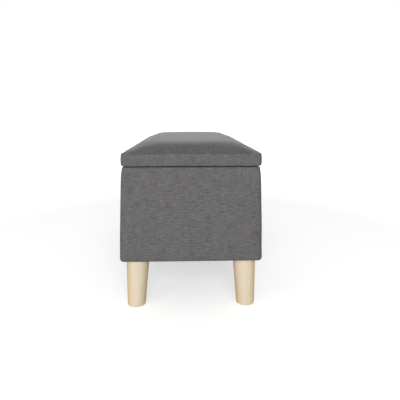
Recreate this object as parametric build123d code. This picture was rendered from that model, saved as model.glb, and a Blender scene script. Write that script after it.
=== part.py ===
from build123d import *
from math import acos, cos, degrees, radians, sin, sqrt, tan
import os

# Storage bench: an upholstered box on four splayed wooden legs, with a hinged, crowned seat lid.
# Millimetres. +Z is up, X runs along the bench, -Y is its front and the lid is hinged along +Y.
# The origin is on the floor under the middle of the bench.

# Whole bench
LENGTH = 900.0
WIDTH = 400.0
BOX_BASE = 134.0
BOX_RIM = 399.0
LID_GAP = 3.0
LID_BAND = 36.0
CROWN_RISE = 26.0
CORNER = 12.0

# Skin over the boards
FABRIC = 1.5
WADDING = 6.0
SKIN = FABRIC + WADDING
HEM = 30.0
RIM_INSET = 4.5
RIM_TAPER = 22.0
BASE_ROUND = 7.0

# Boards and frame
BOARD = 12.0
POST = 45.0
POST_TOP = 372.0
RAIL_DEPTH = 28.0
LINING = 1.2
DUST = 1.0

# Lid
LID_INSET = 1.0
LID_EDGE_INSET = 4.0
LID_EDGE_RISE = 8.0
CROWN_RUN = 110.0
CROWN_EDGE = 4.0
BUMPER_RADIUS = 4.5
BUMPER_X = (-380.0, -130.0, 130.0, 380.0)

# Legs
LEG_INSET = 46.0
LEG_TOP_RADIUS = 33.0
LEG_FOOT_RADIUS = 25.5
LEG_SPLAY = 1.4
GLIDE = 2.0
GLIDE_RADIUS = 18.0
BOLT_RADIUS = 4.0
BOLT_IN_LEG = 45.0
BOLT_IN_BOX = 45.0
INSERT_RADIUS = 6.0
NAIL = 1.0

# Screws: radius of the thread, of its head, and how much the thread bites into the wood
WOOD_SCREW = 2.0
WOOD_SCREW_LENGTH = 40.0
SMALL_SCREW = 1.75
SMALL_SCREW_LENGTH = 14.0
BITE = 0.3
POST_SCREW_HEIGHTS = (185.0, 265.0, 345.0)
POST_SCREW_STEP = 14.0
CLEARANCE = 0.4

# Butt hinges
HINGE_X = {"left": -330.0, "middle": 0.0, "right": 330.0}
HINGE_LENGTH = 70.0
LEAF = 1.4
LEAF_FRONT = 162.0
KNUCKLES = 5
KNUCKLE_RADIUS = 2.75
KNUCKLE_GAP = 0.3
HINGE_PIN = 1.5
AXIS_Y = WIDTH / 2 - 3.25
AXIS_Z = BOX_RIM + LID_GAP / 2
HINGE_SCREW_Y = 174.0
HINGE_SCREW_PITCH = 24.0

# Sliding lid stays: an arm hangs from the lid and its pin runs along a channel on the end panel
PIVOT_Y = AXIS_Y - 110.0
PIVOT_Z = AXIS_Z - 11.0
ARM_LENGTH = 136.05
ARM_ANGLE = -175.15
ARM_TURN = 0.85
LID_OPENING = 80.0
TRACK_Z = AXIS_Z - 23.05
STAY_PIN = 2.5
ARM_HALF = 8.0
ARM = 2.0
TRACK_HALF = 7.5
TRACK_DEPTH = 7.0
TRACK_SHEET = 1.2
SLOT_HALF = 3.4
PIN_HEAD = 5.5

LID_BASE = BOX_RIM + LID_GAP
BAND_TOP = LID_BASE + LID_BAND
CROWN_TOP = BAND_TOP + CROWN_RISE
BOARD_X = LENGTH / 2 - SKIN
BOARD_Y = WIDTH / 2 - SKIN
INNER_X = BOARD_X - BOARD
INNER_Y = BOARD_Y - BOARD
BOARD_BASE = BOX_BASE + FABRIC
BOARD_TOP = BOX_RIM - FABRIC
FLOOR_TOP = BOARD_BASE + BOARD
POST_X = INNER_X - POST / 2
POST_Y = INNER_Y - POST / 2
LEG_X = LENGTH / 2 - LEG_INSET
LEG_Y = WIDTH / 2 - LEG_INSET
CORNERS = {
    "front_left": (-1, -1),
    "front_right": (1, -1),
    "back_left": (-1, 1),
    "back_right": (1, 1),
}
SIDES = {"left": -1, "right": 1}
UP = (Align.CENTER, Align.CENTER, Align.MIN)
DOWN = (Align.CENTER, Align.CENTER, Align.MAX)


def block(x0, x1, y0, y1, z0, z1):
    """A plain box between two corners."""
    size = (abs(x1 - x0), abs(y1 - y0), abs(z1 - z0))
    return Pos((x0 + x1) / 2, (y0 + y1) / 2, (z0 + z1) / 2) * Box(*size)


def rounded_block(half_x, half_y, radius, z0, z1):
    """An upright prism with rounded corners in plan."""
    outline = Pos(0, 0, z0) * RectangleRounded(2 * half_x, 2 * half_y, radius)
    return extrude(outline, amount=z1 - z0)


def rod(start, end, radius):
    """A round bar from one point to another."""
    run = Vector(*end) - Vector(*start)
    return Plane(origin=start, z_dir=run) * Cylinder(radius, run.length, align=UP)


def group(solids):
    return Compound(children=list(solids))


def screw(head, towards, radius, length):
    """A countersunk wood screw with its head's flat at one point, pointing along a direction."""
    plane = Plane(origin=head, z_dir=towards)
    sink = radius * 0.8
    body = Cylinder(radius, length - radius, align=UP)
    tip = Pos(0, 0, length - radius) * Cone(radius, radius * 0.2, radius, align=UP)
    return plane * (body + tip + Cone(radius * 1.8, radius, sink, align=UP))


def screw_hole(head, towards, radius, length, bite):
    """The hole for such a screw, wider than the thread by CLEARANCE or narrower where it bites."""
    plane = Plane(origin=head, z_dir=towards)
    bore = radius - BITE if bite else radius + CLEARANCE
    hole = Cylinder(bore, length, align=UP)
    if not bite:
        hole += Cone(radius * 1.8 + 0.05, radius + 0.05, radius * 0.8, align=UP)
    return plane * hole


# Screw places: (point under the head, direction, radius, length)

def panel_screw_places():
    """Screws from outside the wall boards into the posts, the floor board and the hinge rail."""
    places = []
    for side_x, side_y in CORNERS.values():
        for height in POST_SCREW_HEIGHTS:
            outer_x = (side_x * BOARD_X, side_y * POST_Y, height)
            outer_y = (side_x * POST_X, side_y * BOARD_Y, height + POST_SCREW_STEP)
            places.append((outer_x, (-side_x, 0, 0)))
            places.append((outer_y, (0, -side_y, 0)))
    floor_z = BOARD_BASE + BOARD / 2
    for side_y in (-1, 1):
        for x in (-320.0, -160.0, 0.0, 160.0, 320.0):
            places.append(((x, side_y * BOARD_Y, floor_z), (0, -side_y, 0)))
    for side_x in (-1, 1):
        for y in (-90.0, 90.0):
            places.append(((side_x * BOARD_X, y, floor_z), (-side_x, 0, 0)))
    for x in (-405.0, -165.0, 165.0, 405.0):
        places.append(((x, BOARD_Y, POST_TOP + 7.0), (0, -1, 0)))
    return [(head, way, WOOD_SCREW, WOOD_SCREW_LENGTH - 4.0) for head, way in places]


def hinge_screw_places(z, way):
    """Three screws through each hinge leaf."""
    offsets = (-HINGE_SCREW_PITCH, 0.0, HINGE_SCREW_PITCH)
    heads = [(x + offset, HINGE_SCREW_Y, z) for x in HINGE_X.values() for offset in offsets]
    return [(head, (0, 0, way), SMALL_SCREW, SMALL_SCREW_LENGTH) for head in heads]


def track_screw_places():
    """Three screws through the web of each stay channel into the end board."""
    web = INNER_X - LINING - TRACK_SHEET
    return [
        ((side * web, y, TRACK_Z), (side, 0, 0), SMALL_SCREW, SMALL_SCREW_LENGTH - 2.0)
        for side in SIDES.values()
        for y in (-40.0, 38.0, 116.0)
    ]


def bracket_screw_places():
    """Two screws through the plate of each lid bracket."""
    return [
        ((side * 403.0, PIVOT_Y + offset, LID_BASE - 1.5), (0, 0, 1), SMALL_SCREW, SMALL_SCREW_LENGTH)
        for side in SIDES.values()
        for offset in (-16.0, 16.0)
    ]


def drill(solid, places, bite):
    """Cut the holes of those screws that come near the solid."""
    near = solid.bounding_box()
    for head, way, radius, length in places:
        hole = screw_hole(head, way, radius, length, bite)
        span = hole.bounding_box()
        apart = any(
            getattr(span.min, axis) > getattr(near.max, axis)
            or getattr(near.min, axis) > getattr(span.max, axis)
            for axis in "XYZ"
        )
        if not apart:
            solid = solid - hole
    return solid


# Wooden box

def wall_boards():
    """Front and back boards run through; the end boards stand between them."""
    edge = CORNER - SKIN
    shell = rounded_block(BOARD_X, BOARD_Y, edge, BOARD_BASE, BOARD_TOP)
    places = panel_screw_places()
    boards = {}
    for name, side in (("front_panel", -1), ("back_panel", 1)):
        slab = block(-LENGTH, LENGTH, side * INNER_Y, side * WIDTH, 0, BOX_RIM)
        boards[name] = drill(shell & slab, places, bite=False)
    for name, side in SIDES.items():
        slab = block(side * INNER_X, side * BOARD_X, -INNER_Y, INNER_Y, BOARD_BASE, BOARD_TOP)
        slab = drill(slab, places, bite=False)
        boards[name + "_end_panel"] = drill(slab, track_screw_places(), bite=True)
    return boards


def bottom_panel():
    board = block(-INNER_X, INNER_X, -INNER_Y, INNER_Y, BOARD_BASE, FLOOR_TOP)
    board = drill(board, panel_screw_places(), bite=True)
    for corner in CORNERS.values():
        board -= on_leg_axis(corner, -5.0, 30.0, BOLT_RADIUS + 1.0)
    return board


def post(corner):
    """A square softwood post in a corner of the box, standing on the floor board."""
    side_x, side_y = corner
    body = block(
        side_x * INNER_X, side_x * (INNER_X - POST), side_y * INNER_Y, side_y * (INNER_Y - POST),
        FLOOR_TOP, POST_TOP,
    )
    body = drill(body, panel_screw_places(), bite=True)
    return body - on_leg_axis(corner, 5.0, BOLT_IN_BOX + 8.0, INSERT_RADIUS - BITE)


def hinge_rail():
    """A batten behind the rim that takes the hinge screws. It rests on the back posts."""
    rail = block(-INNER_X, INNER_X, INNER_Y - RAIL_DEPTH, INNER_Y, POST_TOP, BOARD_TOP)
    rail = drill(rail, panel_screw_places(), bite=True)
    return drill(rail, hinge_screw_places(BOX_RIM + LEAF, -1), bite=True)


def panel_screws():
    return group(screw(*place) for place in panel_screw_places())


# Upholstery of the box

def box_form(depth):
    """The box's outer form, set in by a depth: rounded below, leaning in towards the rim."""
    half_x, half_y, radius = LENGTH / 2 - depth, WIDTH / 2 - depth, CORNER - depth
    base, rim = BOX_BASE + depth, BOX_RIM - depth
    body = rounded_block(half_x, half_y, radius, base, rim - RIM_TAPER)
    body = fillet(body.faces().sort_by(Axis.Z)[0].edges(), BASE_ROUND - depth)
    lean = degrees(acos(RIM_TAPER / sqrt(RIM_TAPER**2 + RIM_INSET**2)))
    outline = Pos(0, 0, rim - RIM_TAPER) * RectangleRounded(2 * half_x, 2 * half_y, radius)
    return body + extrude(outline, amount=RIM_TAPER, taper=lean)


def hinge_notches(radius):
    """Room round the knuckles of the three hinges."""
    reach = HINGE_LENGTH / 2 + 0.5
    return [rod((x - reach, AXIS_Y, AXIS_Z), (x + reach, AXIS_Y, AXIS_Z), radius) for x in HINGE_X.values()]


def box_cover():
    """Woven fabric over the padding, turned in over the rim and under the floor."""
    cover = box_form(0) - box_form(FABRIC)
    cover -= block(-INNER_X, INNER_X, -INNER_Y, INNER_Y - RAIL_DEPTH, BOARD_TOP - 1, BOX_RIM + 1)
    open_x, open_y = LENGTH / 2 - HEM, WIDTH / 2 - HEM
    cover -= block(-open_x, open_x, -open_y, open_y, BOX_BASE - 1, BOARD_BASE + 1)
    for notch in hinge_notches(KNUCKLE_RADIUS + 0.45):
        cover -= notch
    return drill(cover, hinge_screw_places(BOX_RIM + LEAF, -1), bite=False)


def wall_padding():
    """Wadding between the boards and the fabric; the front and back pads wrap the corners."""
    ring = box_form(FABRIC) - rounded_block(BOARD_X, BOARD_Y, CORNER - SKIN, BOX_BASE, BOX_RIM)
    split = BOARD_Y - CORNER + SKIN
    return {
        "front_padding": ring & block(-LENGTH, LENGTH, -WIDTH, -split, 0, BOX_RIM),
        "back_padding": ring & block(-LENGTH, LENGTH, split, WIDTH, 0, BOX_RIM),
        "left_padding": ring & block(-LENGTH, 0, -split, split, 0, BOX_RIM),
        "right_padding": ring & block(0, LENGTH, -split, split, 0, BOX_RIM),
    }


def compartment(depth):
    """The storage space, set in by the thickness of its lining, with its posts and rail left out."""
    half_x, half_y, floor = INNER_X - depth, INNER_Y - depth, FLOOR_TOP + depth
    space = block(-half_x, half_x, -half_y, half_y, floor, BOX_RIM)
    for side_x, side_y in CORNERS.values():
        inner = POST + depth
        space -= block(
            side_x * INNER_X, side_x * (INNER_X - inner), side_y * INNER_Y, side_y * (INNER_Y - inner),
            FLOOR_TOP, POST_TOP + depth,
        )
    rail_front = INNER_Y - RAIL_DEPTH - depth
    return space - block(-LENGTH, LENGTH, rail_front, WIDTH, POST_TOP - depth, BOX_RIM)


def box_lining():
    """Non-woven cloth glued over the inside of the box."""
    return drill(compartment(0) - compartment(LINING), track_screw_places(), bite=False)


def underside_cover():
    """Non-woven cloth under the floor board, inside the fabric's turned-in edge."""
    open_x, open_y = LENGTH / 2 - HEM, WIDTH / 2 - HEM
    cover = block(-open_x, open_x, -open_y, open_y, BOARD_BASE - DUST, BOARD_BASE)
    for corner in CORNERS.values():
        cover -= on_leg_axis(corner, -5.0, 30.0, BOLT_RADIUS + 1.0)
    return cover


# Legs


def on_leg_axis(corner, low, high, radius, foot_radius=None):
    """A round solid about a leg's leaning axis, between two distances above the leg's top."""
    side_x, side_y = corner
    lean = tan(radians(LEG_SPLAY))
    plane = Plane(
        origin=(side_x * LEG_X, side_y * LEG_Y, BOX_BASE), z_dir=(-side_x * lean, -side_y * lean, 1)
    )
    if foot_radius is None:
        return plane * (Pos(0, 0, low) * Cylinder(radius, high - low, align=UP))
    return plane * (Pos(0, 0, low) * Cone(foot_radius, radius, high - low, align=UP))


def foot_centre(corner):
    """Where a leg's axis meets the top of its glide."""
    reach = (BOX_BASE - GLIDE) * tan(radians(LEG_SPLAY))
    return corner[0] * (LEG_X + reach), corner[1] * (LEG_Y + reach)


def leg(corner):
    """A turned, tapered wooden leg, cut level at both ends."""
    height = BOX_BASE - GLIDE
    slope = (LEG_TOP_RADIUS - LEG_FOOT_RADIUS) / height
    spare = 8.0
    body = on_leg_axis(
        corner, -height - spare, spare, LEG_TOP_RADIUS + slope * spare, LEG_FOOT_RADIUS - slope * spare
    )
    body &= block(-LENGTH, LENGTH, -WIDTH, WIDTH, GLIDE, BOX_BASE)
    body = fillet(body.faces().sort_by(Axis.Z)[0].edges(), 2.0)
    x, y = foot_centre(corner)
    nail_hole = rod((x, y, GLIDE - 1), (x, y, GLIDE + 14.0), NAIL - 0.2)
    return body - on_leg_axis(corner, -BOLT_IN_LEG, 5.0, BOLT_RADIUS - BITE) - nail_hole



def glide(corner):
    """A plastic disc with a moulded-in nail, under each leg."""
    x, y = foot_centre(corner)
    disc = chamfer(Cylinder(GLIDE_RADIUS, GLIDE, align=UP).edges().group_by(Axis.Z)[0], 0.5)
    return Pos(x, y, 0) * disc + rod((x, y, GLIDE - 0.5), (x, y, GLIDE + 14.0), NAIL)


def leg_bolts():
    """Hanger bolts: wood thread in the leg, machine thread in the box's insert."""
    return group(on_leg_axis(c, -BOLT_IN_LEG, BOLT_IN_BOX, BOLT_RADIUS) for c in CORNERS.values())


def leg_inserts():
    """Threaded inserts driven into the lower ends of the posts."""
    low, high = FLOOR_TOP - BOX_BASE + 0.5, FLOOR_TOP - BOX_BASE + 25.0
    return group(
        on_leg_axis(c, low, high, INSERT_RADIUS) - on_leg_axis(c, low, high, BOLT_RADIUS + 0.05)
        for c in CORNERS.values()
    )


# Lid

def lid_profile(half_span, depth):
    """Half-round crown over an upright band with a turned-in lower edge, set in by a depth."""
    side, base = half_span - depth, LID_BASE + depth
    shoulder, radius = half_span - CROWN_RUN, (CROWN_RUN**2 + CROWN_RISE**2) / (2 * CROWN_RISE)
    centre_z, arc = CROWN_TOP - radius, radius - depth
    sweep = acos((side - shoulder) / arc)
    band_z = centre_z + arc * sin(sweep)
    right, left = (shoulder, centre_z), (-shoulder, centre_z)
    span = degrees(radians(90) - sweep)
    lower = side - LID_EDGE_INSET
    edge_z = LID_BASE + LID_EDGE_RISE
    outline = make_face([
        Polyline((-side, band_z), (-side, edge_z), (-lower, base), (lower, base), (side, edge_z), (side, band_z)),
        CenterArc(right, arc, degrees(sweep), span),
        Line((shoulder, CROWN_TOP - depth), (-shoulder, CROWN_TOP - depth)),
        CenterArc(left, arc, 90, span),
    ])
    top_corners = [v for v in outline.vertices() if abs(abs(v.X) - side) < 0.01 and abs(v.Y - band_z) < 0.01]
    return fillet(top_corners, CROWN_EDGE - depth)


def lid_form(depth):
    """The lid's outer form, set in by a depth: the crown falls to all four sides."""
    half_x, half_y = LENGTH / 2 - LID_INSET, WIDTH / 2 - LID_INSET
    along = extrude(Plane.XZ * lid_profile(half_x, depth), amount=WIDTH / 2, both=True)
    across = extrude(Plane.YZ * lid_profile(half_y, depth), amount=LENGTH / 2, both=True)
    plan = rounded_block(half_x - depth, half_y - depth, CORNER - depth, LID_BASE + depth, CROWN_TOP)
    return along & across & plan


def lid_board():
    """A plywood board with holes for the hinge and bracket screws."""
    base = LID_BASE + FABRIC
    board = rounded_block(BOARD_X, BOARD_Y, CORNER - SKIN, base, base + BOARD)
    board = drill(board, hinge_screw_places(LID_BASE - LEAF, 1), bite=True)
    return drill(board, bracket_screw_places(), bite=True)


def lid_foam():
    """Seat foam bonded on the board and wrapped down over its edge."""
    base = LID_BASE + FABRIC
    return lid_form(FABRIC) - rounded_block(BOARD_X, BOARD_Y, CORNER - SKIN, base - 1, base + BOARD)


def lid_cover():
    """Woven fabric over the foam, turned in under the board."""
    cover = lid_form(0) - lid_form(FABRIC)
    open_x, open_y = LENGTH / 2 - HEM, WIDTH / 2 - HEM
    cover -= block(-open_x, open_x, -open_y, open_y, LID_BASE - 1, LID_BASE + FABRIC + 1)
    for notch in hinge_notches(KNUCKLE_RADIUS + 0.45):
        cover -= notch
    return drill(cover, hinge_screw_places(LID_BASE - LEAF, 1), bite=False)


def lid_underside_cover():
    """Non-woven cloth under the lid board."""
    open_x, open_y = LENGTH / 2 - HEM, WIDTH / 2 - HEM
    base = LID_BASE + FABRIC
    cover = block(-open_x, open_x, -open_y, open_y, base - DUST, base)
    return drill(cover, bracket_screw_places(), bite=False)


def lid_bumpers():
    """Rubber bumpers that keep the closed lid off the front rim."""
    y = -(BOARD_Y - 4.5)
    return group(
        Pos(x, y, LID_BASE) * Cylinder(BUMPER_RADIUS, LID_GAP - 0.1, align=DOWN) for x in BUMPER_X
    )


# Hinges

def knuckle_spans(first):
    """Ends, along the hinge, of every second knuckle."""
    pitch = HINGE_LENGTH / KNUCKLES
    for index in range(first, KNUCKLES, 2):
        start = -HINGE_LENGTH / 2 + index * pitch
        yield start + KNUCKLE_GAP / 2, start + pitch - KNUCKLE_GAP / 2


def hinge_leaf(x, low, first, bore):
    """A leaf with its knuckles rolled round the pin. It lies flat between the rim and the lid."""
    free_edge = AXIS_Y - KNUCKLE_RADIUS - KNUCKLE_GAP
    leaf = block(-HINGE_LENGTH / 2, HINGE_LENGTH / 2, LEAF_FRONT, free_edge, low, low + LEAF)
    for start, end in knuckle_spans(first):
        leaf += block(start, end, free_edge - 1, AXIS_Y, low, low + LEAF)
        leaf += rod((start, AXIS_Y, AXIS_Z), (end, AXIS_Y, AXIS_Z), KNUCKLE_RADIUS)
    leaf -= rod((-HINGE_LENGTH, AXIS_Y, AXIS_Z), (HINGE_LENGTH, AXIS_Y, AXIS_Z), bore)
    return Pos(x, 0, 0) * leaf


def hinge_box_leaf(x):
    leaf = hinge_leaf(x, BOX_RIM, 0, HINGE_PIN - 0.05)
    return drill(leaf, hinge_screw_places(BOX_RIM + LEAF, -1), bite=False)


def hinge_lid_leaf(x):
    leaf = hinge_leaf(x, LID_BASE - LEAF, 1, HINGE_PIN + 0.05)
    return drill(leaf, hinge_screw_places(LID_BASE - LEAF, 1), bite=False)


def hinge_pin(x):
    half = HINGE_LENGTH / 2
    return rod((x - half, AXIS_Y, AXIS_Z), (x + half, AXIS_Y, AXIS_Z), HINGE_PIN)


def hinge_screws(z, way):
    return group(screw(*place) for place in hinge_screw_places(z, way))


# Lid stays. In the YZ plane; each is mirrored for the other end of the box.

TRACK_BACK = INNER_X - LINING
TRACK_FRONT = TRACK_BACK - TRACK_DEPTH
ARM_OUTER = TRACK_FRONT - 0.8
ARM_INNER = ARM_OUTER - ARM
BRACKET_OUTER = ARM_INNER - 0.5
BRACKET = 2.0
BRACKET_INNER = BRACKET_OUTER - BRACKET


def pin_centre(opening):
    """Where the arm's sliding pin is with the lid open by an angle."""
    turn, down, back = radians(opening), PIVOT_Z - AXIS_Z, PIVOT_Y - AXIS_Y
    pivot_y = AXIS_Y + back * cos(turn) + down * sin(turn)
    pivot_z = AXIS_Z - back * sin(turn) + down * cos(turn)
    arm = radians(ARM_ANGLE + ARM_TURN * opening)
    return pivot_y + ARM_LENGTH * cos(arm), pivot_z + ARM_LENGTH * sin(arm)


def side_plate(outline, inner, outer):
    """A flat plate in the YZ plane, between two distances from the middle of the bench."""
    return extrude(Pos(inner, 0, 0) * (Plane.YZ * outline), amount=outer - inner)


def handed(solid, side):
    return solid if side > 0 else mirror(solid, about=Plane.YZ)


def stay_arm(side):
    """A steel strip with a pivot hole at the lid and a riveted pin at the other end."""
    end_y, end_z = pin_centre(0)
    middle = ((PIVOT_Y + end_y) / 2, (PIVOT_Z + end_z) / 2)
    strip = Pos(*middle) * (Rot(0, 0, ARM_ANGLE) * SlotCenterToCenter(ARM_LENGTH, 2 * ARM_HALF))
    strip -= Pos(PIVOT_Y, PIVOT_Z) * Circle(STAY_PIN + 0.05)
    strip -= Pos(end_y, end_z) * Circle(STAY_PIN - 0.1)
    return handed(side_plate(strip, ARM_INNER, ARM_OUTER), side)


def slide_pin(side):
    """A headed pin, riveted in the arm. Its head runs inside the channel."""
    y, z = pin_centre(0)
    head = TRACK_FRONT + TRACK_SHEET + 1.0
    pin = rod((ARM_INNER - 1.5, y, z), (head + 1.0, y, z), STAY_PIN)
    pin += rod((ARM_INNER - 1.5, y, z), (ARM_INNER, y, z), STAY_PIN + 2.0)
    return handed(pin + rod((head, y, z), (head + 1.5, y, z), PIN_HEAD), side)


def stay_track(side):
    """A lipped steel channel on the end board, closed at both ends."""
    start = pin_centre(0)[0] - PIN_HEAD - TRACK_SHEET - 1.0
    end = POST_Y - POST / 2 - LINING - 0.4
    low, high = TRACK_Z - TRACK_HALF, TRACK_Z + TRACK_HALF
    body = block(TRACK_FRONT, TRACK_BACK, start, end, low, high)
    sheet = TRACK_SHEET
    body -= block(
        TRACK_FRONT + sheet, TRACK_BACK - sheet, start + sheet, end - sheet, low + sheet, high - sheet
    )
    slot_start, slot_end = start + sheet + 1.5, end - sheet - 1.5
    body -= block(
        TRACK_FRONT - 1, TRACK_FRONT + 2, slot_start, slot_end, TRACK_Z - SLOT_HALF, TRACK_Z + SLOT_HALF
    )
    return drill(handed(body, side), track_screw_places(), bite=False)


def stay_bracket(side):
    """A bent steel bracket under the lid that carries the arm's pivot."""
    top = LID_BASE + FABRIC - DUST
    ear = make_face(Polyline(
        (PIVOT_Y - 22, top), (PIVOT_Y - 7, PIVOT_Z - 2), (PIVOT_Y + 7, PIVOT_Z - 2), (PIVOT_Y + 22, top),
        close=True,
    ))
    ear += Pos(PIVOT_Y, PIVOT_Z) * Circle(7.0)
    ear -= Pos(PIVOT_Y, PIVOT_Z) * Circle(STAY_PIN - 0.1)
    body = side_plate(ear, BRACKET_INNER, BRACKET_OUTER)
    body += block(BRACKET_OUTER - 28, BRACKET_OUTER, PIVOT_Y - 25, PIVOT_Y + 25, top - BRACKET, top)
    return drill(handed(body, side), bracket_screw_places(), bite=False)


def stay_pivot(side):
    """The rivet that joins arm and bracket."""
    inner, outer = BRACKET_INNER - 1.5, ARM_OUTER + 1.2
    pin = rod((inner, PIVOT_Y, PIVOT_Z), (outer, PIVOT_Y, PIVOT_Z), STAY_PIN)
    pin += rod((inner, PIVOT_Y, PIVOT_Z), (BRACKET_INNER, PIVOT_Y, PIVOT_Z), STAY_PIN + 2.0)
    pin += rod((ARM_OUTER + 0.3, PIVOT_Y, PIVOT_Z), (outer, PIVOT_Y, PIVOT_Z), STAY_PIN + 1.5)
    return handed(pin, side)


def bench():
    """Every piece of the bench by name."""
    pieces = wall_boards()
    pieces["bottom_panel"] = bottom_panel()
    pieces["hinge_rail"] = hinge_rail()
    pieces["panel_screws"] = panel_screws()
    pieces.update(wall_padding())
    pieces["box_cover"] = box_cover()
    pieces["box_lining"] = box_lining()
    pieces["underside_cover"] = underside_cover()
    for name, corner in CORNERS.items():
        pieces[name + "_post"] = post(corner)
        pieces[name + "_leg"] = leg(corner)
        pieces[name + "_glide"] = glide(corner)
    pieces["leg_bolts"] = leg_bolts()
    pieces["leg_inserts"] = leg_inserts()
    pieces["lid_board"] = lid_board()
    pieces["lid_foam"] = lid_foam()
    pieces["lid_cover"] = lid_cover()
    pieces["lid_underside_cover"] = lid_underside_cover()
    pieces["lid_bumpers"] = lid_bumpers()
    for name, x in HINGE_X.items():
        pieces["hinge_box_leaf_" + name] = hinge_box_leaf(x)
        pieces["hinge_lid_leaf_" + name] = hinge_lid_leaf(x)
        pieces["hinge_pin_" + name] = hinge_pin(x)
    pieces["hinge_box_screws"] = hinge_screws(BOX_RIM + LEAF, -1)
    pieces["hinge_lid_screws"] = hinge_screws(LID_BASE - LEAF, 1)
    for name, side in SIDES.items():
        pieces["stay_track_" + name] = stay_track(side)
        pieces["stay_arm_" + name] = stay_arm(side)
        pieces["stay_slide_pin_" + name] = slide_pin(side)
        pieces["stay_bracket_" + name] = stay_bracket(side)
        pieces["stay_pivot_" + name] = stay_pivot(side)
    pieces["track_screws"] = group(screw(*place) for place in track_screw_places())
    pieces["bracket_screws"] = group(screw(*place) for place in bracket_screw_places())
    return pieces


os.makedirs("parts", exist_ok=True)
for piece_name, piece in bench().items():
    export_step(piece, f"parts/{piece_name}.step")
print("lid pin path ends at y", [round(pin_centre(a)[0], 1) for a in (0, LID_OPENING)])
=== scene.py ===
import bpy
import math
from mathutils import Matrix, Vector, noise


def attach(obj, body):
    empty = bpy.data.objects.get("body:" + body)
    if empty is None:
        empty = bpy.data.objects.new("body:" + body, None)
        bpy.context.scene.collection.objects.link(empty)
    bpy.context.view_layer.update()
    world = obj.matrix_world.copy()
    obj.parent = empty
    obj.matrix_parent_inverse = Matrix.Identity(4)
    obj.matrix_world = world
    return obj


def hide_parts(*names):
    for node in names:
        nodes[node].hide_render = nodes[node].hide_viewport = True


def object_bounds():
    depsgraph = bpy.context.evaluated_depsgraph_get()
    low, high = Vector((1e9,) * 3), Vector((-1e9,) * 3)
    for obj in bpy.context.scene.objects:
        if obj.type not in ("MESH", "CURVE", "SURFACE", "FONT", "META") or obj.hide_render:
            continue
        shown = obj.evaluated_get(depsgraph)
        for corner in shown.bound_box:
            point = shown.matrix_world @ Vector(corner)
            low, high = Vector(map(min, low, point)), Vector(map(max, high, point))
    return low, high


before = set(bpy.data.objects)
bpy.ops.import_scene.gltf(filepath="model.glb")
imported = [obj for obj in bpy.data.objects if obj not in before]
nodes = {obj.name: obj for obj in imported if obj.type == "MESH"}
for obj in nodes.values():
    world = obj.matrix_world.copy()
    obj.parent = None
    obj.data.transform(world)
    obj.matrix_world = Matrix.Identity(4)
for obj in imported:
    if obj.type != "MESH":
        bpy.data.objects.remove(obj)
cad_low, cad_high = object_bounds()
scene = bpy.context.scene


# Boards and posts: birch plywood walls, floor and lid board, planed pine posts and hinge rail, all raw.
# They are screwed together and mostly hidden. Grain runs along the length on boards, upright on posts.

def add(tree, kind, inputs=None, **settings):
    """A shader node. Each input is a constant or the socket it is linked from."""
    node = tree.nodes.new("ShaderNode" + kind)
    for key, value in settings.items():
        setattr(node, key, value)
    for key, value in (inputs or {}).items():
        if isinstance(value, bpy.types.NodeSocket):
            tree.links.new(value, node.inputs[key])
        else:
            node.inputs[key].default_value = value
    return node


def maths(tree, operation, a, b=0.0, clamp=False):
    return add(tree, "Math", {0: a, 1: b}, operation=operation, use_clamp=clamp).outputs[0]


def stretched(tree, vector, x, y, z):
    """A vector divided by a length along each axis, so a noise of scale 1 has features of that size."""
    scale = (1 / x, 1 / y, 1 / z)
    return add(tree, "VectorMath", {0: vector, 1: scale}, operation="MULTIPLY").outputs[0]


def noise_value(tree, vector, detail=2.0):
    return add(tree, "TexNoise", {"Vector": vector, "Scale": 1.0, "Detail": detail}).outputs["Fac"]


def blend_colours(tree, amount, low, high):
    return add(tree, "Mix", {0: amount, 6: low, 7: high}, data_type="RGBA").outputs[2]


def nudged(tree, vector, amount, x, y):
    """A vector moved across X and Y by shares of an amount."""
    shares = {"X": maths(tree, "MULTIPLY", amount, x), "Y": maths(tree, "MULTIPLY", amount, y)}
    move = add(tree, "CombineXYZ", shares).outputs[0]
    return add(tree, "VectorMath", {0: vector, 1: move}, operation="ADD").outputs[0]


def new_group(name, inputs, outputs):
    """A node group with its input and output nodes."""
    group = bpy.data.node_groups.new(name, "ShaderNodeTree")
    for label, kind in inputs:
        group.interface.new_socket(label, in_out="INPUT", socket_type="NodeSocket" + kind)
    for label, kind in outputs:
        group.interface.new_socket(label, in_out="OUTPUT", socket_type="NodeSocket" + kind)
    return group, group.nodes.new("NodeGroupInput").outputs, group.nodes.new("NodeGroupOutput").inputs


def new_material(name, **constants):
    """A node material, its tree and its Principled shader with constants set, wired to the output."""
    material = bpy.data.materials.new(name)
    material.use_nodes = True
    tree = material.node_tree
    tree.nodes.clear()
    shader = add(tree, "BsdfPrincipled")
    for key, value in constants.items():
        shader.inputs[key.replace("_", " ")].default_value = value
    add(tree, "OutputMaterial", {"Surface": shader.outputs[0]})
    return material, tree, shader


def use_group(tree, group, inputs):
    return add(tree, "Group", inputs, node_tree=group).outputs


def bump(tree, shader, height, distance, strength=1.0):
    node = add(tree, "Bump", {"Height": height, "Distance": distance, "Strength": strength})
    tree.links.new(node.outputs[0], shader.inputs["Normal"])


def dress(material, *names):
    """Gives carried-over solids this material."""
    for name in names:
        mesh = nodes[name].data
        mesh.materials.clear()
        mesh.materials.append(material)


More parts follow.
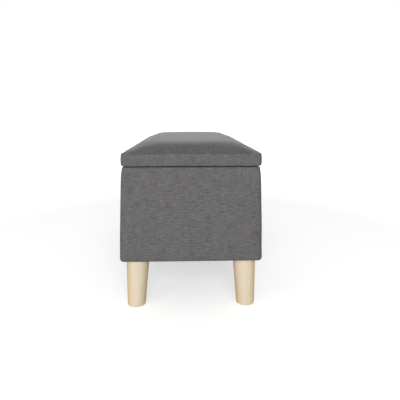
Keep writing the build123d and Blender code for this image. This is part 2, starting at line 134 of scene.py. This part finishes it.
grain, given, result = new_group(
    "wood_grain",
    [("Position", "Vector"), ("Light", "Color"), ("Dark", "Color")],
    [("Colour", "Color"), ("Height", "Float")],
)
wander = noise_value(grain, stretched(grain, given["Position"], 0.05, 0.05, 0.4), 1.0)
bent = nudged(grain, given["Position"], wander, 0.012, 0.012)
rings = noise_value(grain, stretched(grain, bent, 0.009, 0.009, 0.35), 2.0)
fibres = noise_value(grain, stretched(grain, given["Position"], 0.0009, 0.0009, 0.02), 2.0)
streak = maths(grain, "ADD", maths(grain, "MULTIPLY", rings, 0.8), maths(grain, "MULTIPLY", fibres, 0.35))
spread = add(grain, "MapRange", {"Value": streak, "From Min": 0.38, "From Max": 0.78}).outputs[0]
grain.links.new(blend_colours(grain, spread, given["Light"], given["Dark"]), result["Colour"])
grain.links.new(fibres, result["Height"])


def wood(name, light, dark, turned, depth, **constants):
    """Wood whose grain runs along Z, or along X when turned."""
    material, tree, shader = new_material(name, **constants)
    place = add(tree, "TexCoord").outputs["Object"]
    if turned:
        quarter = {"Vector": place, "Angle": math.pi / 2}
        place = add(tree, "VectorRotate", quarter, rotation_type="Y_AXIS").outputs[0]
    look = use_group(tree, grain, {"Position": place, "Light": (*light, 1), "Dark": (*dark, 1)})
    tree.links.new(look["Colour"], shader.inputs["Base Color"])
    bump(tree, shader, look["Height"], depth, 0.5)
    return material


plywood = wood("raw_plywood", (0.72, 0.58, 0.40), (0.52, 0.37, 0.21), True, 0.0002, Roughness=0.75)
pine_colours = (0.74, 0.58, 0.36), (0.58, 0.37, 0.17)
pine = wood("raw_pine", *pine_colours, False, 0.0003, Roughness=0.7)
pine_along = wood("raw_pine_along", *pine_colours, True, 0.0003, Roughness=0.7)
corners = ("front_left", "front_right", "back_left", "back_right")
dress(plywood, "front_panel", "back_panel", "left_end_panel", "right_end_panel", "bottom_panel", "lid_board")
dress(pine, *[corner + "_post" for corner in corners])
dress(pine_along, "hinge_rail")


# Hardware: zinc-plated steel screws, hanger bolts, inserts, butt hinges and sliding stays, stamped or
# turned. Plating has a cool, slightly cloudy shine with fine rolling marks.

def plated_steel(name, colour, roughness):
    material, tree, shader = new_material(name, Metallic=1.0, Roughness=roughness)
    place = add(tree, "TexCoord").outputs["Object"]
    cloud = noise_value(tree, stretched(tree, place, 0.012, 0.012, 0.012), 3.0)
    marks = noise_value(tree, stretched(tree, place, 0.02, 0.0006, 0.0006), 2.0)
    mixed = maths(tree, "ADD", maths(tree, "MULTIPLY", cloud, 0.7), maths(tree, "MULTIPLY", marks, 0.3))
    dull = tuple(0.72 * c for c in colour)
    tree.links.new(blend_colours(tree, mixed, (*dull, 1), (*colour, 1)), shader.inputs["Base Color"])
    rough = add(tree, "MapRange", {"Value": mixed, "To Min": roughness - 0.1, "To Max": roughness + 0.12})
    tree.links.new(rough.outputs[0], shader.inputs["Roughness"])
    bump(tree, shader, marks, 0.00008, 0.4)
    return material


sides = ("left", "right")
hinges = ("left", "middle", "right")
dress(
    plated_steel("zinc_screws", (0.66, 0.65, 0.62), 0.38),
    "panel_screws", "leg_bolts", "leg_inserts", "track_screws", "bracket_screws",
    "hinge_box_screws", "hinge_lid_screws",
)
dress(
    plated_steel("hinge_plate", (0.62, 0.63, 0.64), 0.34),
    *[part + name for part in ("hinge_box_leaf_", "hinge_lid_leaf_", "hinge_pin_") for name in hinges],
)
dress(
    plated_steel("stay_plate", (0.58, 0.59, 0.60), 0.42),
    *[
        "stay_" + part + "_" + side
        for part in ("track", "arm", "slide_pin", "bracket", "pivot")
        for side in sides
    ],
)


# Legs: turned pale hardwood under a clear satin lacquer, bolted up into the posts, with painted warm shade
# down their sides, where the wood turns a deeper amber as it faces away. Each stands on a black moulded
# plastic disc.

leg_wood = wood(
    "lacquered_wood", (0.79, 0.71, 0.58), (0.73, 0.63, 0.475), False, 0.00006,
    Roughness=0.5, Coat_Weight=0.8, Coat_Roughness=0.35,
)
tree = leg_wood.node_tree
shader = next(node for node in tree.nodes if node.type == "BSDF_PRINCIPLED")
# Painted shade: the wood colour is blended towards a deep amber as the surface faces away from the eye,
# standing in for the warm shading at the leg's sides.
painted_side_shade = maths(tree, "MULTIPLY", add(tree, "LayerWeight", {"Blend": 0.5}).outputs["Facing"], 1.3, True)
wood_colour = shader.inputs["Base Color"].links[0].from_socket
painted_shade_amber = (0.82, 0.60, 0.28, 1)
tree.links.new(blend_colours(tree, painted_side_shade, wood_colour, painted_shade_amber), shader.inputs["Base Color"])
dress(leg_wood, *[corner + "_leg" for corner in corners])
glide_plastic, tree, shader = new_material("glide_plastic", Roughness=0.55)
place = add(tree, "TexCoord").outputs["Object"]
fine = noise_value(tree, stretched(tree, place, 0.0008, 0.0008, 0.0008))
tree.links.new(
    blend_colours(tree, fine, (0.035, 0.035, 0.036, 1), (0.07, 0.07, 0.072, 1)), shader.inputs["Base Color"]
)
bump(tree, shader, fine, 0.0001)
dress(glide_plastic, *[corner + "_glide" for corner in corners])


# Box upholstery: grey slubbed linen-look cloth pulled over thin wadding on all four walls, plainly seamed
# at the corners, turned in over the rim and turned under the floor. One piece with its padding.

half_length, half_width = 0.450, 0.200
corner_radius = 0.012
box_base, box_rim = 0.134, 0.399
hem = 0.030
hinge_x = (-0.330, 0.0, 0.330)
hinge_y, hinge_z = 0.19675, 0.4005
past_hinge, knuckle_room = 0.046, 0.0036
across_steps, along_steps, turn_steps = 38, 88, 6
loop_count = 2 * (across_steps + along_steps) + 4 * turn_steps


def ring(half_x, low_y, high_y, radius):
    """Points round a rounded rectangle and their outward directions, from its front left corner."""
    radius = max(radius, 0.001)
    centres = [
        (half_x - radius, low_y + radius, -90), (half_x - radius, high_y - radius, 0),
        (-half_x + radius, high_y - radius, 90), (-half_x + radius, low_y + radius, 180),
    ]
    turned = []
    for index, (x, y, start) in enumerate(centres):
        for step in range(turn_steps):
            angle = math.radians(start + 90 * step / turn_steps)
            out = Vector((math.cos(angle), math.sin(angle)))
            turned.append((Vector((x, y)) + radius * out, out))
        angle = math.radians(start + 90)
        out = Vector((math.cos(angle), math.sin(angle)))
        here = Vector((x, y)) + radius * out
        after = centres[(index + 1) % 4]
        goal = Vector(after[:2]) + radius * out
        steps = along_steps if index % 2 else across_steps
        for step in range(steps):
            turned.append((here.lerp(goal, step / steps), out))
    start = len(turned) - along_steps - turn_steps // 2
    return turned[start:] + turned[:start]


def panel_of(index):
    """Which wall a place round the loop belongs to: front, right, back, left."""
    ends = (along_steps + turn_steps, along_steps + across_steps + 2 * turn_steps)
    if index < ends[0]:
        return 0
    if index < ends[1]:
        return 1
    return 2 if index < ends[0] + ends[1] else 3


def clear_hinges(place):
    """Cloth is pressed back where it meets the knuckles of a hinge, and a little past their ends."""
    if min(abs(place.x - x) for x in hinge_x) < past_hinge:
        away = Vector((0, place.y - hinge_y, place.z - hinge_z))
        if away.length < knuckle_room:
            place += away.normalized() * (knuckle_room - away.length)
    return place


def stitched(index, deep=0.0009):
    """How far the cloth is drawn in at a vertical corner seam, at a place round the loop."""
    seams = (0, along_steps + turn_steps, along_steps + across_steps + 2 * turn_steps)
    seams += (seams[2] + along_steps + turn_steps, loop_count)
    return deep if index in seams else 0.0


def smooth_object(name, mesh):
    """Puts a finished mesh in the scene, smoothly shaded."""
    for polygon in mesh.polygons:
        polygon.use_smooth = True
    obj = bpy.data.objects.new(name, mesh)
    scene.collection.objects.link(obj)
    return obj


def cloth_mesh(name, rows, top_places=(), top_faces=()):
    """A mesh from loops of places and a top inside the last, its UVs in metres of cloth for the weave."""
    faces = []
    for row in range(len(rows) - 1):
        for step in range(loop_count):
            after = (step + 1) % loop_count
            low, high = row * loop_count, (row + 1) * loop_count
            faces.append((low + step, low + after, high + after, high + step))
    walls = len(faces)
    mesh = bpy.data.meshes.new(name)
    places = [place for row in rows for place in row]
    mesh.from_pydata(places + [*top_places], [], faces + [*top_faces])
    uv = mesh.uv_layers.new(name="cloth")
    middle = rows[len(rows) // 2]
    run = [0.0]
    for step in range(loop_count):
        run.append(run[-1] + (middle[(step + 1) % loop_count] - middle[step]).length)
    climb, measured = [0.0], 40
    for row in range(len(rows) - 1):
        climb.append(climb[-1] + (rows[row + 1][measured] - rows[row][measured]).length)
    for number, polygon in enumerate(mesh.polygons):
        if number < walls:
            row, step = divmod(number, loop_count)
            offset = 0.37 * panel_of(step)
            corners_uv = [(step, row), (step + 1, row), (step + 1, row + 1), (step, row + 1)]
            for corner, (u, v) in zip(polygon.loop_indices, corners_uv):
                uv.data[corner].uv = (run[u] + offset, climb[v] + offset)
        else:
            for corner in polygon.loop_indices:
                place = mesh.vertices[mesh.loops[corner].vertex_index].co
                uv.data[corner].uv = (place.x + 5.0, place.y + 5.0)
    return smooth_object(name, mesh)


def settle(obj, pinned, pressure, most):
    """Lets padded cloth settle under the push of its filling, with no part moving past a limit."""
    last_step = 20
    start = [vertex.co.copy() for vertex in obj.data.vertices]
    pins = obj.vertex_groups.new(name="pins")
    pins.add(pinned, 1.0, "REPLACE")
    cloth = obj.modifiers.new("cloth", "CLOTH")
    cloth.settings.quality = 6
    cloth.settings.mass = 0.35
    cloth.settings.tension_stiffness = 40
    cloth.settings.compression_stiffness = 40
    cloth.settings.shear_stiffness = 20
    cloth.settings.bending_stiffness = 2.0
    cloth.settings.use_pressure = True
    cloth.settings.uniform_pressure_force = pressure
    cloth.settings.shrink_min = -0.004
    cloth.settings.vertex_group_mass = "pins"
    cloth.settings.effector_weights.gravity = 0
    cloth.point_cache.frame_start, cloth.point_cache.frame_end = 1, last_step
    for step in range(1, last_step + 1):
        scene.frame_set(step)
    shaped = obj.evaluated_get(bpy.context.evaluated_depsgraph_get())
    settled = [vertex.co.copy() for vertex in shaped.data.vertices]
    obj.modifiers.remove(cloth)
    obj.vertex_groups.remove(pins)
    for vertex, before, after in zip(obj.data.vertices, start, settled):
        move = after - before
        if move.length > most:
            move *= most / move.length
        vertex.co = before + move
    scene.frame_set(1)


def thicken(obj, thickness, offset=-1.0):
    """Gives a sheet its thickness, as real geometry."""
    solid = obj.modifiers.new("thickness", "SOLIDIFY")
    solid.thickness, solid.offset = thickness, offset
    solid.use_even_offset = False
    with bpy.context.temp_override(object=obj, active_object=obj, selected_objects=[obj]):
        bpy.ops.object.modifier_apply(modifier=solid.name)


weave, given, result = new_group(
    "slub_weave", [("Cloth", "Vector"), ("Yarn", "Color")], [("Colour", "Color"), ("Height", "Float")]
)
pitch = 2 * math.pi / 0.0022
wave = noise_value(weave, stretched(weave, given["Cloth"], 0.012, 0.012, 1), 1.0)
threads = add(weave, "SeparateXYZ", {0: nudged(weave, given["Cloth"], wave, 0.0008, 0.0012)})
warp = maths(weave, "SINE", maths(weave, "MULTIPLY", threads.outputs["X"], pitch))
weft = maths(weave, "SINE", maths(weave, "MULTIPLY", threads.outputs["Y"], pitch))
crossing = maths(weave, "MULTIPLY", warp, weft)
slub = noise_value(weave, stretched(weave, given["Cloth"], 0.022, 0.0030, 1), 2.0)
fine_slub = noise_value(weave, stretched(weave, given["Cloth"], 0.010, 0.0013, 1), 2.0)
upright = noise_value(weave, stretched(weave, given["Cloth"], 0.0028, 0.030, 1), 2.0)
patch = noise_value(weave, stretched(weave, given["Cloth"], 0.045, 0.030, 1), 1.0)
tone = maths(weave, "MULTIPLY", maths(weave, "SUBTRACT", slub, 0.5), 1.15)
for source, share in ((fine_slub, 1.0), (upright, 0.6), (patch, 0.24)):
    tone = maths(weave, "ADD", tone, maths(weave, "MULTIPLY", maths(weave, "SUBTRACT", source, 0.5), share))
hairline = noise_value(weave, stretched(weave, given["Cloth"], 0.024, 0.0017, 1), 1.0)
fleck = add(weave, "MapRange", {"Value": hairline, "From Min": 0.62, "From Max": 0.76, "To Max": 0.4})
knots = maths(weave, "ADD", fleck.outputs[0], maths(weave, "MULTIPLY", crossing, 0.05))
tone = maths(weave, "ADD", tone, knots)
tone = maths(weave, "ADD", tone, 1.0)
coloured = add(weave, "VectorMath", {0: given["Yarn"], "Scale": tone}, operation="SCALE")
weave.links.new(coloured.outputs[0], result["Colour"])
height = maths(weave, "ADD", maths(weave, "MULTIPLY", crossing, 0.35), maths(weave, "MULTIPLY", slub, 0.9))
weave.links.new(height, result["Height"])

grey_cloth, tree, shader = new_material(
    "grey_slub_cloth", Roughness=0.82, Sheen_Weight=0.12, Sheen_Roughness=0.45, Specular_IOR_Level=0.32
)
cloth_place = add(tree, "TexCoord").outputs["UV"]
look = use_group(tree, weave, {"Cloth": cloth_place, "Yarn": (0.124, 0.1185, 0.121, 1)})
tree.links.new(look["Colour"], shader.inputs["Base Color"])
bump(tree, shader, look["Height"], 0.0005, 0.35)


def wall_inset(depth):
    """How far the wall leans in, at a depth below the rim."""
    return 0.0021 * max(0.0, 1 - depth / 0.170) ** 1.3 + 0.0029 * math.exp(-((depth / 0.013) ** 1.5))


base_round, rim_round = 0.0095, 0.0032


def lower_edge(base, radius):
    """Insets and heights up the rounded lower edge of the cloth."""
    arc = [math.radians(15 * step) for step in range(7)]
    return [(radius * (1 - math.sin(a)), base + radius * (1 - math.cos(a))) for a in arc]


profile = [(hem, box_base + 0.0002), (0.022, box_base + 0.0002), (0.014, box_base)]
profile += lower_edge(box_base, base_round)
wall_steps = 24
wall_low, wall_high = box_base + base_round, box_rim - rim_round
for step in range(1, wall_steps + 1):
    z = wall_low + (wall_high - wall_low) * (1 - (1 - step / wall_steps) ** 1.25)
    profile.append((wall_inset(box_rim - z), z))
top_inset = wall_inset(rim_round)
profile += [
    (top_inset + rim_round * (1 - math.cos(a)), box_rim - rim_round * (1 - math.sin(a)))
    for a in (math.radians(22.5 * step) for step in range(1, 5))
]
rows = []
for inset, z in profile:
    loop = []
    outline = ring(half_length - inset, inset - half_width, half_width - inset, corner_radius - inset)
    for index, (flat, out) in enumerate(outline):
        place = Vector((*flat, z))
        on_wall = min(1.0, max(0.0, (z - wall_low) / 0.02)) * min(1.0, max(0.0, (box_rim - z) / 0.02))
        sway = noise.noise(place * 14) * 0.0007 + noise.noise(place * 45) * 0.00018
        place -= Vector((*out, 0)) * (stitched(index) + on_wall * (0.0003 - sway))
        loop.append(clear_hinges(place))
    rows.append(loop)
turned_in = (
    (0.437, -0.187, 0.178, 0.3993), (0.4306, -0.1806, 0.1526, 0.3996), (0.4304, -0.1804, 0.1524, 0.3973),
)
for x, front_y, back_y, z in turned_in:
    rows.append([Vector((*flat, z)) for flat, out in ring(x, front_y, back_y, 0.003)])
box_upholstery = cloth_mesh("box_upholstery", rows)
count = len(rows)
firm = [r * loop_count + i for r in range(count) for i in range(loop_count) if r < 6 or r > count - 6]
settle(box_upholstery, firm, 0.6, 0.0006)
thicken(box_upholstery, 0.0013)
box_upholstery.data.materials.append(grey_cloth)
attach(box_upholstery, "box")
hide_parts("box_cover", "front_padding", "back_padding", "left_padding", "right_padding")


# Lining: black non-woven cloth, point-bonded, glued over the floor, walls, posts and rail inside the box.
# It is one cut sheet, folded up into the corners, its upper edge level with the rim.

fleece, given, result = new_group(
    "point_bond", [("Position", "Vector")], [("Shade", "Float"), ("Height", "Float")]
)
spacing = stretched(fleece, given["Position"], 0.0016, 0.0016, 0.0016)
cells = add(fleece, "TexVoronoi", {"Vector": spacing, "Scale": 1.0}).outputs["Distance"]
dots = add(fleece, "MapRange", {"Value": cells, "From Min": 0.2, "From Max": 0.45}).outputs[0]
matted = noise_value(fleece, stretched(fleece, given["Position"], 0.006, 0.006, 0.006), 4.0)
shade = maths(fleece, "ADD", maths(fleece, "MULTIPLY", dots, 0.35), maths(fleece, "MULTIPLY", matted, 0.65))
fleece.links.new(shade, result["Shade"])
fleece.links.new(dots, result["Height"])


def non_woven(name, dark, light):
    material, tree, shader = new_material(name, Roughness=0.9, Sheen_Weight=0.1, Specular_IOR_Level=0.25)
    look = use_group(tree, fleece, {"Position": add(tree, "TexCoord").outputs["Object"]})
    tree.links.new(blend_colours(tree, look["Shade"], dark, light), shader.inputs["Base Color"])
    bump(tree, shader, look["Height"], 0.0002, 0.6)
    return material


def divided(keys, step):
    """Values between key values, no further apart than a step."""
    values = []
    for low, high in zip(keys, keys[1:]):
        count = max(1, round((high - low) / step))
        values += [low + (high - low) * i / count for i in range(count)]
    return values + [keys[-1]]


def sheet_mesh(name, patches, xs, ys, zs, wave):
    """Flat patches on a shared lattice, joined at their edges and slightly uneven along their normals."""
    lattice = (xs, ys, zs)
    places, faces, index = [], [], {}

    def at(place):
        key = tuple(round(c * 1e5) for c in place)
        if key not in index:
            index[key] = len(places)
            places.append(Vector(place))
        return index[key]

    area = 0.0
    for axis, value, first_span, second_span, facing in patches:
        first, second = [a for a in range(3) if a != axis]
        us = [v for v in lattice[first] if first_span[0] - 1e-6 <= v <= first_span[1] + 1e-6]
        vs = [v for v in lattice[second] if second_span[0] - 1e-6 <= v <= second_span[1] + 1e-6]
        area += (first_span[1] - first_span[0]) * (second_span[1] - second_span[0])
        for u0, u1 in zip(us, us[1:]):
            for v0, v1 in zip(vs, vs[1:]):
                quad = []
                for u, v in ((u0, v0), (u1, v0), (u1, v1), (u0, v1)):
                    place = [0.0, 0.0, 0.0]
                    place[axis], place[first], place[second] = value, u, v
                    quad.append(at(place))
                forward = facing > 0 if axis != 1 else facing < 0
                faces.append(quad if forward else quad[::-1])
    mesh = bpy.data.meshes.new(name)
    mesh.from_pydata(places, [], faces)
    mesh.update()
    normals = [v.normal.copy() for v in mesh.vertices]
    for vertex, normal in zip(mesh.vertices, normals):
        vertex.co += normal * wave * (0.5 + 0.5 * noise.noise(vertex.co * 22 + Vector((3, 7, 1))))
    return smooth_object(name, mesh), area


wall_x, wall_y, post_x, post_y, rail_y = 0.4305, 0.1805, 0.3855, 0.1355, 0.1525
floor_z, post_z, rim_z = 0.1475, 0.372, 0.3988
xs = divided([-wall_x, -post_x, post_x, wall_x], 0.015)
ys = divided([-wall_y, -post_y, post_y, rail_y, wall_y], 0.015)
zs = divided([floor_z, post_z, rim_z], 0.014)
patches = [(2, floor_z, (-post_x, post_x), (-wall_y, wall_y), 1)]
patches.append((1, -wall_y, (-post_x, post_x), (floor_z, rim_z), 1))
patches.append((1, wall_y, (-post_x, post_x), (floor_z, post_z), -1))
patches.append((2, post_z, (-post_x, post_x), (rail_y, wall_y), -1))
patches.append((1, rail_y, (-wall_x, wall_x), (post_z, rim_z), -1))
for side in (-1, 1):
    strip = (min(side * post_x, side * wall_x), max(side * post_x, side * wall_x))
    patches.append((2, floor_z, strip, (-post_y, post_y), 1))
    patches.append((0, side * wall_x, (-post_y, post_y), (floor_z, post_z), -side))
    patches.append((0, side * wall_x, (-wall_y, rail_y), (post_z, rim_z), -side))
    patches.append((0, side * post_x, (-wall_y, -post_y), (floor_z, post_z), -side))
    patches.append((0, side * post_x, (post_y, wall_y), (floor_z, post_z), -side))
    patches.append((1, -post_y, strip, (floor_z, post_z), 1))
    patches.append((1, post_y, strip, (floor_z, post_z), -1))
    patches.append((2, post_z, strip, (-wall_y, -post_y), 1))
    patches.append((2, post_z, strip, (post_y, rail_y), 1))
    patches.append((1, -wall_y, strip, (post_z, rim_z), 1))
lining, lining_area = sheet_mesh("lining", patches, xs, ys, zs, 0.0004)
thicken(lining, 0.0007, 1.0)
lining.data.materials.append(non_woven("lining_cloth", (0.036, 0.036, 0.038, 1), (0.085, 0.085, 0.09, 1)))
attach(lining, "box")
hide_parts("box_lining")


# Dust cloth under the box: thinner black non-woven cloth inside the turned-under edge, stapled all round.
# Staples are fine galvanised wire with a 10 mm crown.

dust = non_woven("dust_cloth", (0.018, 0.018, 0.020, 1), (0.045, 0.045, 0.048, 1))
cloth_x, cloth_y = 0.4195, 0.1695


def dust_cloth(name, z, body, node):
    spans = (-cloth_x, cloth_x), (-cloth_y, cloth_y)
    flat_xs, flat_ys = (divided(span, 0.014) for span in spans)
    obj, area = sheet_mesh(name, [(2, z, *spans, -1)], flat_xs, flat_ys, [z], 0.0003)
    thicken(obj, 0.0006, 1.0)
    obj.data.materials.append(dust)
    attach(obj, body)
    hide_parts(node)


def staples(name, places, body):
    """Wire staples seen from below: a crown between two bent legs that go up into the board."""
    wire, half, rise, bend = 0.00035, 0.005, 0.0012, 0.0003
    path = [(-half, rise), (-half, bend), (bend - half, 0), (half - bend, 0), (half, bend), (half, rise)]
    vertices, faces = [], []
    for x, y, z, along in places:
        way = Vector((1, 0, 0)) if along else Vector((0, 1, 0))
        side = Vector((0, 1, 0)) if along else Vector((1, 0, 0))
        first = len(vertices)
        for step, (run, up) in enumerate(path):
            upright = step in (0, 5)
            for turn in range(6):
                angle = math.pi * turn / 3
                across = side * math.cos(angle) * wire
                over = (way if upright else Vector((0, 0, 1))) * math.sin(angle) * wire
                vertices.append(Vector((x, y, z + up)) + way * run + across + over)
        for step in range(5):
            for turn in range(6):
                low, after = first + 6 * step, (turn + 1) % 6
                faces.append((low + turn, low + after, low + 6 + after, low + 6 + turn))
        faces.append([first + turn for turn in range(5, -1, -1)])
        faces.append([first + 30 + turn for turn in range(6)])
    mesh = bpy.data.meshes.new(name)
    mesh.from_pydata(vertices, [], faces)
    mesh.materials.append(staple_wire)
    obj = smooth_object(name, mesh)
    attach(obj, body)


def staple_row(z, inset):
    """Staples round the edge of a dust cloth, about 60 mm apart, a little out of line."""
    row = []
    for side in (-1, 1):
        for step in range(14):
            x = -0.39 + 0.06 * step
            row.append((x, side * (cloth_y - inset + 0.0008 * noise.noise((x * 40, side, 0))), z, True))
        for step in range(5):
            y = -0.12 + 0.06 * step
            row.append((side * (cloth_x - inset + 0.0008 * noise.noise((side, y * 40, 0))), y, z, False))
    return row


staple_wire = plated_steel("staple_wire", (0.60, 0.60, 0.60), 0.35)
dust_cloth("underside_cloth", 0.1355, "box", "underside_cover")
leg_edge_x, leg_edge_y, staple_inset = 0.36, 0.11, 0.006
clear_of_legs = [
    p for p in staple_row(0.1341, staple_inset) if abs(p[0]) < leg_edge_x or abs(p[1]) < leg_edge_y
]
staples("underside_staples", clear_of_legs, "box")


# Seat lid: the same cloth over a crowned foam pad bonded on a plywood board, with an upright band, a plain
# seam where the crown meets the band, and the cloth turned under the board. One piece with its foam.

lid_base, band_top, crown_top = 0.402, 0.438, 0.4632
lid_x, lid_y = 0.449, 0.199
edge_round = 0.005
set_back, seam_inset = 0.0008, 0.0028
end_run, end_curve = 0.212, 3.7
profile = [(hem, lid_base + 0.0003), (0.021, lid_base + 0.0002), (0.014, lid_base)]
profile += lower_edge(lid_base, edge_round)
band_low, band_high = lid_base + edge_round, band_top - 0.003
for step in range(1, 6):
    z = band_low + (band_high - band_low) * step / 5
    profile.append((-0.0010 * math.sin(math.pi * min(1, (z - lid_base) / (band_top - lid_base))), z))
profile += [(-0.0002, band_top - 0.0016), (0.0010, band_top - 0.0004), (0.0022, band_top - 0.0006)]
rows = []
for inset, z in profile:
    loop = []
    outline = ring(lid_x - inset, inset - lid_y, lid_y - inset, corner_radius - inset)
    for index, (flat, out) in enumerate(outline):
        place = Vector((*flat, z))
        on_band = 1.0 if inset < 0.004 else 0.0
        sway = noise.noise(place * 12 + Vector((5, 0, 0))) * 0.0005
        place += Vector((*out, 0)) * (on_band * sway - stitched(index, 0.0006))
        place.y += set_back * on_band
        loop.append(clear_hinges(place))
    rows.append(loop)
seam_front, seam_back = seam_inset - lid_y + set_back, lid_y - seam_inset + set_back
seam = ring(lid_x - seam_inset, seam_front, seam_back, corner_radius - seam_inset)
rows.append([Vector((*flat, band_top - 0.0016)) for flat, out in seam])
top = rows[-1]
wide, deep = along_steps + turn_steps, across_steps + turn_steps
front_edge = top[:wide + 1]
right_edge = top[wide:wide + deep + 1]
back_edge = top[wide + deep:2 * wide + deep + 1][::-1]
left_edge = (top[2 * wide + deep:] + [top[0]])[::-1]
below = len(rows) * loop_count
inner, faces = [], []


def grid_index(i, j):
    """The vertex number of a place in the grid of the crown, whose border is the seam."""
    border = (len(rows) - 1) * loop_count
    if j == 0:
        return border + i
    if i == wide:
        return border + wide + j
    if j == deep:
        return border + 2 * wide + deep - i
    if i == 0:
        return border + (2 * wide + 2 * deep - j) % loop_count
    return below + (j - 1) * (wide - 1) + i - 1


for j in range(1, deep):
    t = (left_edge[j].y - left_edge[0].y) / (left_edge[-1].y - left_edge[0].y)
    for i in range(1, wide):
        s = (front_edge[i].x - front_edge[0].x) / (front_edge[-1].x - front_edge[0].x)
        place = front_edge[i].lerp(back_edge[i], t) + left_edge[j].lerp(right_edge[j], s)
        place -= front_edge[0].lerp(front_edge[-1], s).lerp(back_edge[0].lerp(back_edge[-1], s), t)
        from_end = min(1.0, (1 - abs(2 * s - 1)) * lid_x / end_run)
        fullness = 4.0 + 3.0 * min(1.0, 0.7 * from_end)
        rise = (1 - abs(2 * t - 1) ** fullness) * (1 - (1 - from_end) ** end_curve)
        sway = noise.noise(Vector((place.x * 9, place.y * 9, 2))) * 0.0008
        place.z = top[0].z + (crown_top - top[0].z) * rise + sway * rise
        inner.append(place)
for j in range(deep):
    for i in range(wide):
        around = ((i, j), (i + 1, j), (i + 1, j + 1), (i, j + 1))
        faces.append([grid_index(*corner) for corner in around])
lid_cushion = cloth_mesh("lid_cushion", rows, inner, faces)
count = len(rows)
firm = [r * loop_count + i for r in range(count) for i in range(loop_count) if r < 7 or r > count - 3]
settle(lid_cushion, firm, 2.0, 0.0015)
thicken(lid_cushion, 0.0013)
lid_cushion.data.materials.append(grey_cloth)
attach(lid_cushion, "lid")
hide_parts("lid_cover", "lid_foam")


# Dust cloth and bumpers under the lid: the same thin non-woven cloth, stapled all round, and four
# self-adhesive rubber domes that meet the front rim.

dust_cloth("lid_underside_cloth", lid_base + 0.0015, "lid", "lid_underside_cover")
clear_of_hinges = [
    p for p in staple_row(lid_base + 0.0001, staple_inset)
    if p[1] < 0.15 or min(abs(p[0] - x) for x in hinge_x) > 0.055
]
staples("lid_staples", clear_of_hinges, "lid")
rubber, tree, shader = new_material("bumper_rubber", Roughness=0.7)
place = add(tree, "TexCoord").outputs["Object"]
dusty = noise_value(tree, stretched(tree, place, 0.002, 0.002, 0.002), 3.0)
tree.links.new(
    blend_colours(tree, dusty, (0.025, 0.025, 0.025, 1), (0.06, 0.06, 0.06, 1)), shader.inputs["Base Color"]
)
bump(tree, shader, dusty, 0.0001)
dress(rubber, "lid_bumpers")


# Floor: a wide matt studio floor, painted nearly white. It glows a little to the eye only, so shadows on
# it stay light, and it glows more further out, until it looks fully white.

floor_glow = 0.550
floor_mesh = bpy.data.meshes.new("floor")
reach = 15.0
floor_mesh.from_pydata(
    [(-reach, -reach, 0), (reach, -reach, 0), (reach, reach, 0), (-reach, reach, 0)], [], [(0, 1, 2, 3)]
)
floor = bpy.data.objects.new("floor", floor_mesh)
scene.collection.objects.link(floor)
floor_material, tree, shader = new_material(
    "studio_floor", Base_Color=(0.85, 0.85, 0.85, 1), Roughness=1.0, Specular_IOR_Level=0.0,
    Emission_Color=(1, 1, 1, 1),
)
seen = add(tree, "LightPath").outputs["Is Camera Ray"]
place = add(tree, "TexCoord").outputs["Object"]
away = add(tree, "VectorMath", {0: place}, operation="LENGTH").outputs["Value"]
whitening = {"Value": away, "From Min": 1.0, "From Max": 2.4, "To Min": floor_glow, "To Max": 1.0}
whiter = add(tree, "MapRange", whitening).outputs[0]
tree.links.new(maths(tree, "MULTIPLY", seen, whiter), shader.inputs["Emission Strength"])
floor_mesh.materials.append(floor_material)


# Light: a white backdrop to the eye, a dim surround for the object that is darker at its sides, a broad
# soft box over the camera, a low one on the bench's front side, and a long one behind that skims the seat.

world = bpy.data.worlds.new("studio")
scene.world = world
world.use_nodes = True
tree = world.node_tree
tree.nodes.clear()
backdrop = add(tree, "Background", {"Color": (1, 1, 1, 1), "Strength": 1.0})
way = add(tree, "SeparateXYZ", {0: add(tree, "TexCoord").outputs["Generated"]}).outputs["Y"]
sideways = maths(tree, "ABSOLUTE", way)
dimming = {"Value": sideways, "From Min": 0.1, "From Max": 0.8, "To Min": 0.54, "To Max": 0.22}
dim = add(tree, "MapRange", dimming).outputs[0]
surround = add(tree, "Background", {"Color": (1, 1, 1, 1), "Strength": dim})
seen = add(tree, "LightPath").outputs["Is Camera Ray"]
either = add(tree, "MixShader", {"Fac": seen, 1: surround.outputs[0], 2: backdrop.outputs[0]})
add(tree, "OutputWorld", {"Surface": either.outputs[0]})


def soft_box(name, place, target, width, height, power):
    """A rectangular studio light aimed at a point."""
    data = bpy.data.lights.new(name, "AREA")
    data.shape = "RECTANGLE"
    data.size, data.size_y, data.energy = width, height, power
    light = bpy.data.objects.new(name, data)
    scene.collection.objects.link(light)
    light.location = place
    light.rotation_mode = "QUATERNION"
    light.rotation_quaternion = (Vector(target) - Vector(place)).to_track_quat("-Z", "Y")
    light.visible_camera = False
    return light


middle = (0, 0, 0.3)
soft_box("front_light", (3.8, 0.1, 1.5), middle, 2.2, 1.6, 68)
soft_box("left_light", (2.8, -2.2, 0.55), middle, 1.3, 0.9, 23)
back_light = soft_box("back_light", (-2.8, 0.1, 0.95), middle, 2.6, 0.7, 53)
off_floor = bpy.data.collections.new("off_floor")
off_floor.objects.link(floor)
off_floor.collection_objects[0].light_linking.link_state = "EXCLUDE"
back_light.light_linking.receiver_collection = off_floor


# Camera: eye height of someone kneeling, level, looking down the length of the bench from its right end
# and turned slightly towards the hinge side. The frame is shifted down, so uprights stay upright.

camera_data = bpy.data.cameras.new("camera")
camera_data.lens = 35
camera_data.sensor_width = 36
camera_data.shift_y = -0.21625
camera_data.clip_start = 0.05
camera = bpy.data.objects.new("camera", camera_data)
scene.collection.objects.link(camera)
camera_turn = math.radians(1.87)
camera.location = (cad_high.x + 1.088, -0.0113, 0.5502)
camera.rotation_mode = "QUATERNION"
looking = Vector((-math.cos(camera_turn), math.sin(camera_turn), 0))
camera.rotation_quaternion = looking.to_track_quat("-Z", "Y")
scene.camera = camera
scene.view_settings.view_transform = "Standard"
